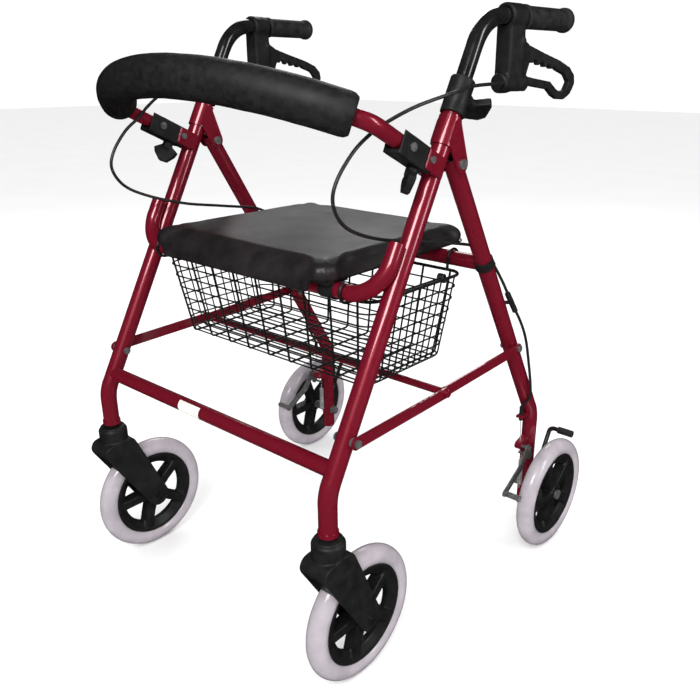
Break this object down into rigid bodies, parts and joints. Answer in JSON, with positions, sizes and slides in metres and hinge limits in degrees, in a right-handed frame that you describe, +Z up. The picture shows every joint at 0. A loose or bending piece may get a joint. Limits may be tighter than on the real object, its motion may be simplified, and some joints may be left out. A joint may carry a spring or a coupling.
{
  "type": "rollator walker",
  "caption": "Folding wheeled walking frame with swivel front casters, padded seat, wire basket, padded backrest hoop, height-adjustable handles and loop brake levers.",
  "frame": {"origin": "on the floor, midway between the side frames and midway between the front and rear wheel ends", "axes": "+Z up, +X to the user's left, +Y to the rear where the user walks; the front casters and the backrest are at -Y"},
  "size_m": [0.637, 0.664, 0.9],
  "materials": {
    "red_paint": "metallic burgundy gloss paint",
    "black_paint": "gloss black paint",
    "black_wire": "black coated wire",
    "steel": "zinc plated",
    "grey_tyre": "light grey solid tyre",
    "black_rubber": "matt rubber",
    "black_foam": "closed cell foam",
    "black_vinyl": "grained vinyl over foam",
    "cable_sheath": "satin sheath",
    "black_plastic": "moulded plastic"
  },
  "bodies": {
    "rear_frame": {"rear_leg_left": "red_paint", "rear_leg_right": "red_paint", "rear_cross_tube": "red_paint", "rear_fasteners": "steel", "kerb_levers": "black_paint", "kerb_tips": "black_rubber", "brake_brackets": "red_paint", "brake_springs": "steel", "brake_cable_lower_left": "cable_sheath", "brake_cable_lower_right": "cable_sheath", "cable_fittings": "black_plastic"},
    "front_frame": {"front_leg_left": "red_paint", "front_leg_right": "red_paint", "front_cross_tube": "red_paint", "seat_tube": "red_paint", "hinge_brackets": "red_paint", "front_fasteners": "steel", "handle_clamps": "black_plastic", "backrest_brackets": "red_paint", "backrest_sockets": "black_plastic", "caster_bushes": "black_plastic", "brake_cable_upper_left": "cable_sheath", "brake_cable_upper_right": "cable_sheath"},
    "caster_left": {"caster_fork_left": "black_plastic", "caster_bolts_left": "black_paint"},
    "front_wheel_left": {"front_hub_left": "black_plastic", "front_tyre_left": "grey_tyre"},
    "rear_wheel_left": {"rear_hub_left": "black_plastic", "rear_tyre_left": "grey_tyre"},
    "handle_left": {"handle_tube_left": "black_paint", "grip_left": "black_rubber", "brake_housing_left": "black_plastic"},
    "lever_left": {"brake_lever_left": "black_plastic"},
    "arm_left": {"brake_arm_left": "steel"},
    "handle_wing_left": {"handle_knob_left": "black_plastic"},
    "backrest_wing_left": {"backrest_knob_left": "black_plastic"},
    "front_strut_left": {"front_link_left": "red_paint"},
    "caster_right": {"caster_fork_right": "black_plastic", "caster_bolts_right": "black_paint"},
    "front_wheel_right": {"front_hub_right": "black_plastic", "front_tyre_right": "grey_tyre"},
    "rear_wheel_right": {"rear_hub_right": "black_plastic", "rear_tyre_right": "grey_tyre"},
    "handle_right": {"handle_tube_right": "black_paint", "grip_right": "black_rubber", "brake_housing_right": "black_plastic"},
    "lever_right": {"brake_lever_right": "black_plastic"},
    "arm_right": {"brake_arm_right": "steel"},
    "handle_wing_right": {"handle_knob_right": "black_plastic"},
    "backrest_wing_right": {"backrest_knob_right": "black_plastic"},
    "front_strut_right": {"front_link_right": "red_paint"},
    "backrest": {"backrest_tube": "red_paint", "backrest_foam": "black_foam"},
    "rear_struts": {"rear_links": "red_paint", "cross_rod": "red_paint"},
    "basket_body": {"basket": "black_wire"},
    "bail": {"basket_handle": "black_wire"},
    "seat": {"seat_pad": "black_vinyl", "seat_board": "black_plastic", "seat_clips": "black_plastic"}
  },
  "joints": [
    {"name": "fold", "type": "hinge", "parent": "rear_frame", "child": "front_frame", "pos_m": [0, -0.042, 0.701], "axis": [1, 0, 0], "range_deg": [0, 30], "deforming": ["brake_cable_upper_left", "brake_cable_upper_right"]},
    {"name": "rear_strut_fold", "type": "hinge", "parent": "rear_frame", "child": "rear_struts", "pos_m": [0, 0.143, 0.393], "axis": [1, 0, 0], "range_deg": [0, 70.8]},
    {"name": "basket_swing", "type": "hinge", "parent": "rear_frame", "child": "basket_body", "pos_m": [0, 0.0492, 0.549], "axis": [1, 0, 0], "range_deg": [0, 24.1]},
    {"name": "bail_swing", "type": "hinge", "parent": "basket_body", "child": "bail", "pos_m": [0, -0.012, 0.534], "axis": [-1, 0, 0], "range_deg": [0, 4]},
    {"name": "seat_lift", "type": "hinge", "parent": "front_frame", "child": "seat", "pos_m": [0, -0.1919, 0.548], "axis": [1, 0, 0], "range_deg": [0, 80]},
    {"name": "backrest_fold", "type": "hinge", "parent": "front_frame", "child": "backrest", "pos_m": [0, -0.145, 0.73], "axis": [-1, 0, 0], "range_deg": [0, 90]},
    {"name": "front_strut_fold_left", "type": "hinge", "parent": "front_frame", "child": "front_strut_left", "pos_m": [0.25, -0.256, 0.38], "axis": [-1, 0, 0], "range_deg": [0, 70.6]},
    {"name": "caster_swivel_left", "type": "hinge", "parent": "front_frame", "child": "caster_left", "pos_m": [0.25, -0.291, 0.25], "axis": [0, 0, 1], "continuous": true},
    {"name": "front_wheel_spin_left", "type": "hinge", "parent": "caster_left", "child": "front_wheel_left", "pos_m": [0.25, -0.232, 0.1], "axis": [1, 0, 0], "continuous": true},
    {"name": "rear_wheel_spin_left", "type": "hinge", "parent": "rear_frame", "child": "rear_wheel_left", "pos_m": [0.3, 0.232, 0.1], "axis": [1, 0, 0], "continuous": true},
    {"name": "handle_height_left", "type": "slide", "parent": "front_frame", "child": "handle_left", "axis": [0, 0.4772, 0.8788], "range_m": [0, 0.125], "deforming": ["brake_cable_upper_left"]},
    {"name": "brake_squeeze_left", "type": "hinge", "parent": "handle_left", "child": "lever_left", "pos_m": [0.25581, 0.09077, 0.852], "axis": [0.9969, -0.0785, 0], "range_deg": [0, 16], "stiffness_Nm_per_rad": 0.6, "springref_deg": -8.59},
    {"name": "brake_press_left", "type": "hinge", "parent": "rear_frame", "child": "arm_left", "pos_m": [0.25, 0.2, 0.19], "axis": [1, 0, 0], "range_deg": [0, 1.8], "deforming": ["brake_springs"]},
    {"name": "handle_knob_turn_left", "type": "hinge", "parent": "front_frame", "child": "handle_wing_left", "pos_m": [0.25, -0.03472, 0.788], "axis": [0, 0.8788, -0.4772], "continuous": true},
    {"name": "backrest_knob_turn_left", "type": "hinge", "parent": "front_frame", "child": "backrest_wing_left", "pos_m": [0.25, -0.12163, 0.7186], "axis": [0, 0.4384, 0.8988], "continuous": true},
    {"name": "front_strut_fold_right", "type": "hinge", "parent": "front_frame", "child": "front_strut_right", "pos_m": [-0.25, -0.256, 0.38], "axis": [-1, 0, 0], "range_deg": [0, 70.6]},
    {"name": "caster_swivel_right", "type": "hinge", "parent": "front_frame", "child": "caster_right", "pos_m": [-0.25, -0.291, 0.25], "axis": [0, 0, 1], "continuous": true},
    {"name": "front_wheel_spin_right", "type": "hinge", "parent": "caster_right", "child": "front_wheel_right", "pos_m": [-0.25, -0.232, 0.1], "axis": [1, 0, 0], "continuous": true},
    {"name": "rear_wheel_spin_right", "type": "hinge", "parent": "rear_frame", "child": "rear_wheel_right", "pos_m": [-0.3, 0.232, 0.1], "axis": [1, 0, 0], "continuous": true},
    {"name": "handle_height_right", "type": "slide", "parent": "front_frame", "child": "handle_right", "axis": [0, 0.4772, 0.8788], "range_m": [0, 0.125], "deforming": ["brake_cable_upper_right"]},
    {"name": "brake_squeeze_right", "type": "hinge", "parent": "handle_right", "child": "lever_right", "pos_m": [-0.25581, 0.09077, 0.852], "axis": [0.9969, 0.0785, 0], "range_deg": [0, 16], "stiffness_Nm_per_rad": 0.6, "springref_deg": -8.59},
    {"name": "brake_press_right", "type": "hinge", "parent": "rear_frame", "child": "arm_right", "pos_m": [-0.25, 0.2, 0.19], "axis": [1, 0, 0], "range_deg": [0, 1.8], "deforming": ["brake_springs"]},
    {"name": "handle_knob_turn_right", "type": "hinge", "parent": "front_frame", "child": "handle_wing_right", "pos_m": [-0.25, -0.03472, 0.788], "axis": [0, 0.8788, -0.4772], "continuous": true},
    {"name": "backrest_knob_turn_right", "type": "hinge", "parent": "front_frame", "child": "backrest_wing_right", "pos_m": [-0.25, -0.12163, 0.7186], "axis": [0, 0.4384, 0.8988], "continuous": true}
  ],
  "couplings": [
    {"joint": "rear_strut_fold", "follows": "fold", "ratio": 2.357},
    {"joint": "basket_swing", "follows": "fold", "ratio": 0.8},
    {"joint": "front_strut_fold_left", "follows": "fold", "ratio": 2.35},
    {"joint": "brake_press_left", "follows": "brake_squeeze_left", "ratio": 0.11},
    {"joint": "front_strut_fold_right", "follows": "fold", "ratio": 2.35},
    {"joint": "brake_press_right", "follows": "brake_squeeze_right", "ratio": 0.11}
  ]
}
